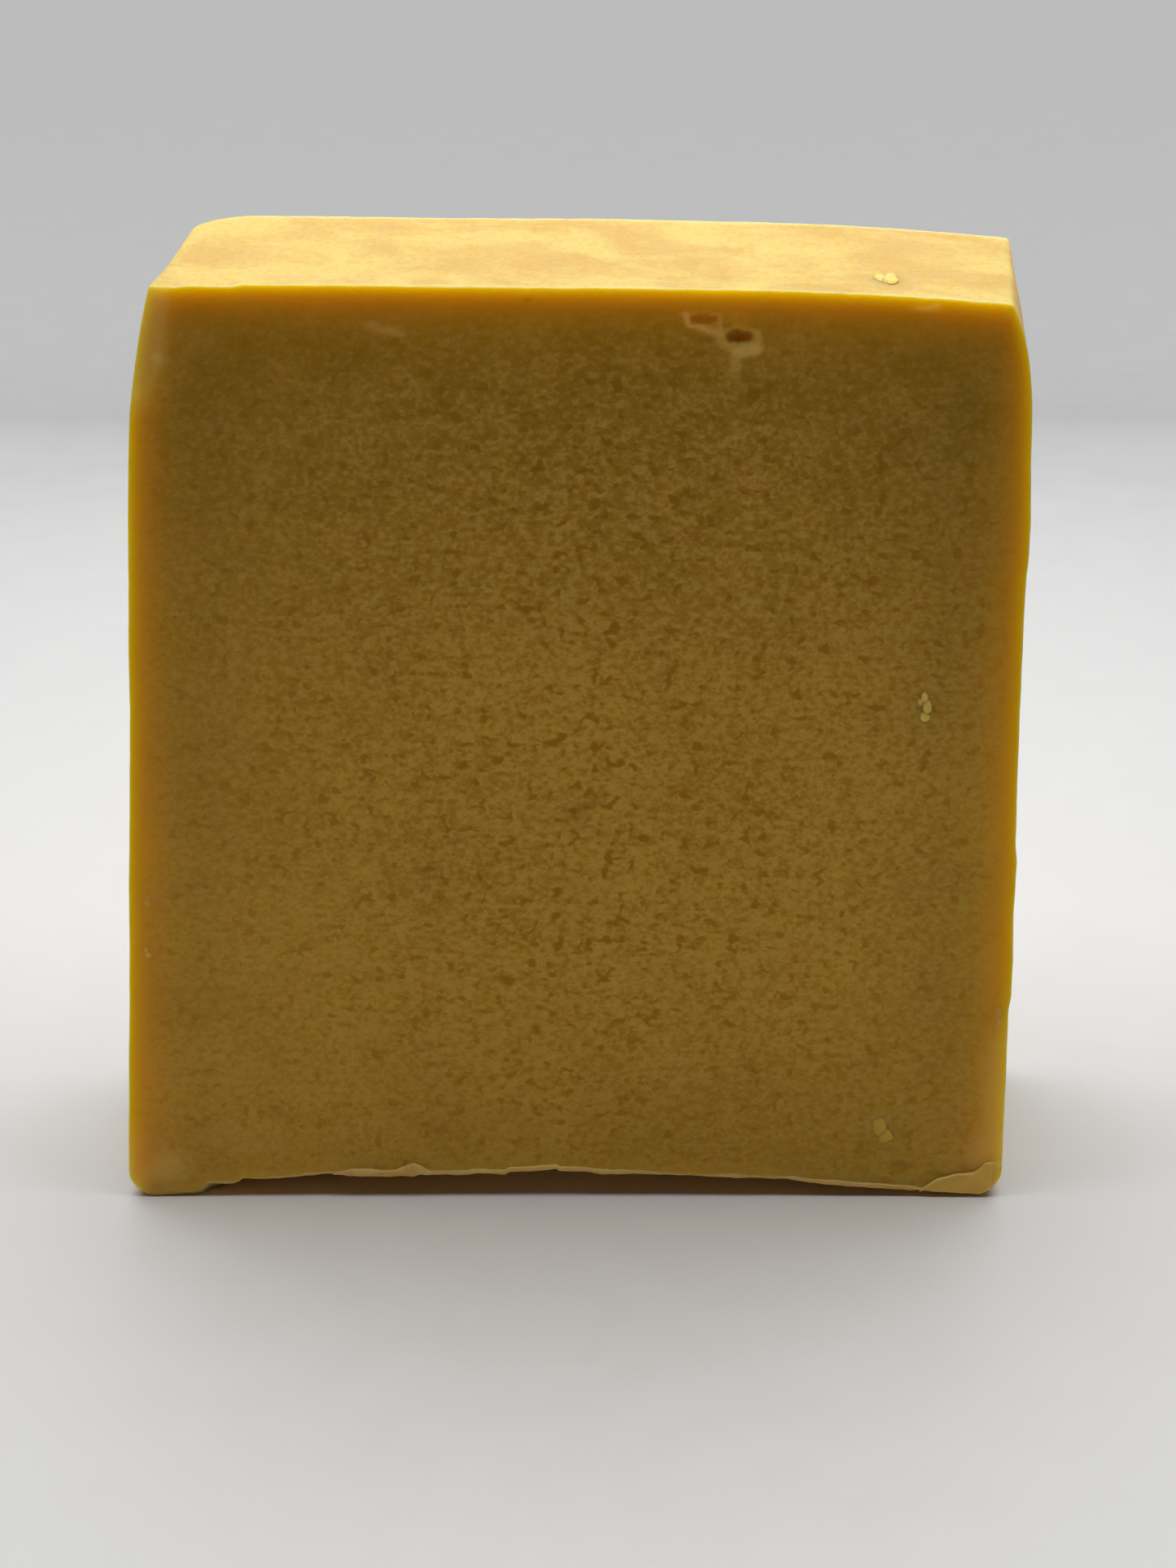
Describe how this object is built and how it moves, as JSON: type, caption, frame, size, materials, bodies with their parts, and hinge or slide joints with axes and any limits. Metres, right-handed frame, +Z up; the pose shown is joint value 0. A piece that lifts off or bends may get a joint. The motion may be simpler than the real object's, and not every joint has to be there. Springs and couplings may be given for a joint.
{
  "type": "clay bar",
  "caption": "Square-cut bar of waxy yellow material sliced from a tapered loaf, standing on one narrow edge, with a hollowed underside and crumbs left by the knife.",
  "frame": {"origin": "middle of the floor area that the whole object covers, on the surface it stands on", "axes": "+X to the right and +Z up as seen facing the front cut face, which looks towards -Y; +Y through the thickness to the back"},
  "size_m": [0.0761, 0.0244, 0.0786],
  "materials": {
    "block": "waxy satin, slightly translucent, amber at thin edges",
    "shaving": "waxy, paler where thin"
  },
  "bodies": {
    "root": {"bar": "block", "top_crumb": "shaving", "face_flake": "shaving", "lower_face_dab": "shaving", "right_edge_crumb": "shaving", "left_edge_crumbs": "shaving", "lip_shaving": "shaving", "corner_curl": "shaving"}
  },
  "joints": []
}
